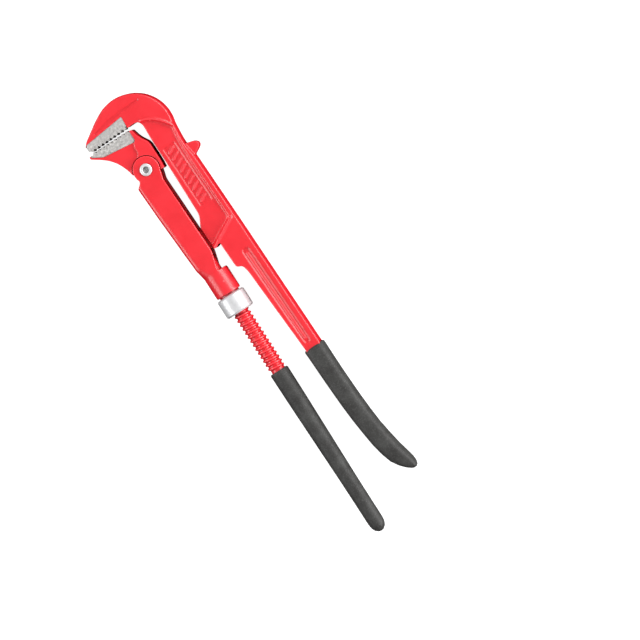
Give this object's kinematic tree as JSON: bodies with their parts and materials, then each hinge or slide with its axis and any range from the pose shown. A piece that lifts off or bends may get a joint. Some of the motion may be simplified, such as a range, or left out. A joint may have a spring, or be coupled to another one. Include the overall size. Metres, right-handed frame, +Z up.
{
  "type": "pipe wrench",
  "caption": "Swedish-pattern pipe wrench with a hooked jaw, a pivoting lower jaw on a sliding sleeve, an adjusting nut on a threaded leg and dipped grips.",
  "frame": {"origin": "middle of the bounding box's base, with the wrench lying flat on its face", "axes": "+Y runs along the legs towards the hook, +X from the threaded leg to the hook leg, +Z up through the thickness"},
  "size_m": [0.0628, 0.32, 0.0192],
  "materials": {
    "red_paint": "gloss",
    "bare_steel": "ground",
    "black_grip": "matte",
    "zinc": "bright zinc"
  },
  "bodies": {
    "hook_leg": {"hook_leg": "red_paint", "hook_jaw_plate": "bare_steel", "hook_leg_grip": "black_grip"},
    "threaded_leg": {"threaded_leg": "red_paint", "threaded_leg_grip": "black_grip", "fulcrum_pin": "bare_steel"},
    "sleeve": {"jaw_sleeve": "red_paint", "nut_ring": "bare_steel", "jaw_rivet": "zinc"},
    "nut": {"adjusting_nut": "zinc"},
    "lower_jaw": {"lower_jaw": "red_paint", "lower_jaw_plate": "bare_steel"}
  },
  "joints": [
    {"name": "legs_pivot", "type": "hinge", "parent": "hook_leg", "child": "threaded_leg", "pos_m": [-0.00647, 0.05364, 0.0096], "axis": [0, 0, 1], "range_deg": [0, 5]},
    {"name": "sleeve_slide", "type": "slide", "parent": "threaded_leg", "child": "sleeve", "axis": [-0.0262, -0.9997, 0], "range_m": [0, 0.038]},
    {"name": "nut_spin", "type": "hinge", "parent": "sleeve", "child": "nut", "pos_m": [-0.00759, 0.01066, 0.0096], "axis": [-0.0262, -0.9997, 0], "range_deg": [0, 4561]},
    {"name": "jaw_rock", "type": "hinge", "parent": "sleeve", "child": "lower_jaw", "pos_m": [-0.00553, 0.11164, 0.0096], "axis": [0, 0, 1], "range_deg": [0, 6]}
  ],
  "couplings": [
    {"joint": "nut_spin", "follows": "sleeve_slide", "rad_per_m": 2094.4}
  ]
}
